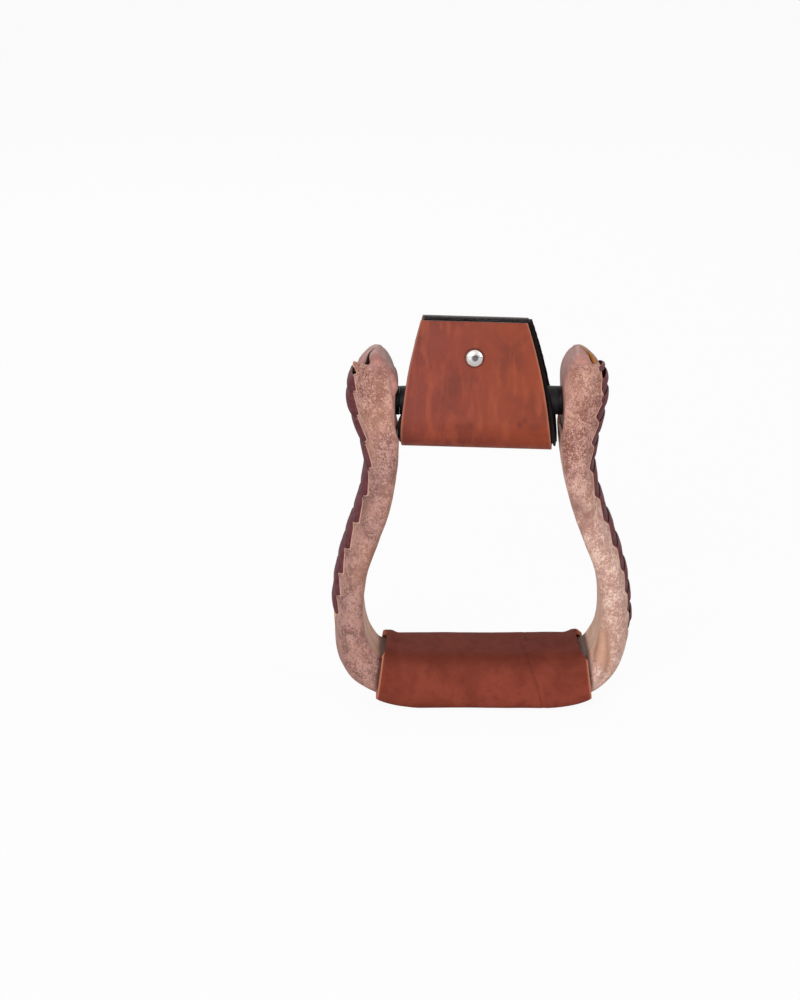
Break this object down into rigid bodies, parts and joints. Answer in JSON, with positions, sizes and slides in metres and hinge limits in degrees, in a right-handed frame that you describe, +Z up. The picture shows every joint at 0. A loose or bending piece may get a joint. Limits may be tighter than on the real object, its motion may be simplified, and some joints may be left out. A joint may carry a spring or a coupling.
{
  "type": "western stirrup",
  "caption": "Bent wood stirrup covered in laced rawhide, with a leather tread sleeve, a roller on a bolt between the limbs, and a riveted leather keeper folded round the roller.",
  "frame": {"origin": "on the floor, under the middle of the overall width and depth, as the stirrup stands on its tread", "axes": "+X from the left limb to the right limb as the rivet's cap faces the viewer, +Y from the front to the rear, +Z up"},
  "size_m": [0.1622, 0.0438, 0.2151],
  "materials": {
    "wood": "bare bent wood",
    "rawhide": "speckled rawhide",
    "smooth_rawhide": "smooth rawhide",
    "lace": "dark red lace leather",
    "tread_leather": "smooth oiled leather",
    "keeper_leather": "smooth oiled leather",
    "lining": "black, rough cut edges",
    "roller": "black, satin",
    "steel": "plain zinc-coated",
    "dark_steel": "blackened, satin",
    "nickel": "polished nickel"
  },
  "bodies": {
    "frame": {"wood_bow": "wood", "tread_sleeve": "tread_leather", "rawhide_cover_left": "rawhide", "rawhide_cover_right": "rawhide", "rawhide_cap_left": "smooth_rawhide", "rawhide_cap_right": "smooth_rawhide", "lace_left": "lace", "lace_right": "lace", "roller_washer_left": "dark_steel", "roller_washer_right": "dark_steel", "seat_washer_left": "steel", "seat_washer_right": "steel", "stirrup_bolt": "steel", "bolt_nut": "steel"},
    "roller": {"roller_sleeve": "roller"},
    "keeper": {"keeper_leather": "keeper_leather", "keeper_lining": "lining", "rivet_cap": "nickel", "rivet_burr": "nickel"}
  },
  "joints": [
    {"name": "roller_turn", "type": "hinge", "parent": "frame", "child": "roller", "pos_m": [-0.003, 0, 0.1693], "axis": [1, 0, 0], "continuous": true},
    {"name": "keeper_swing", "type": "hinge", "parent": "frame", "child": "keeper", "pos_m": [-0.003, 0, 0.1693], "axis": [1, 0, 0], "continuous": true}
  ]
}
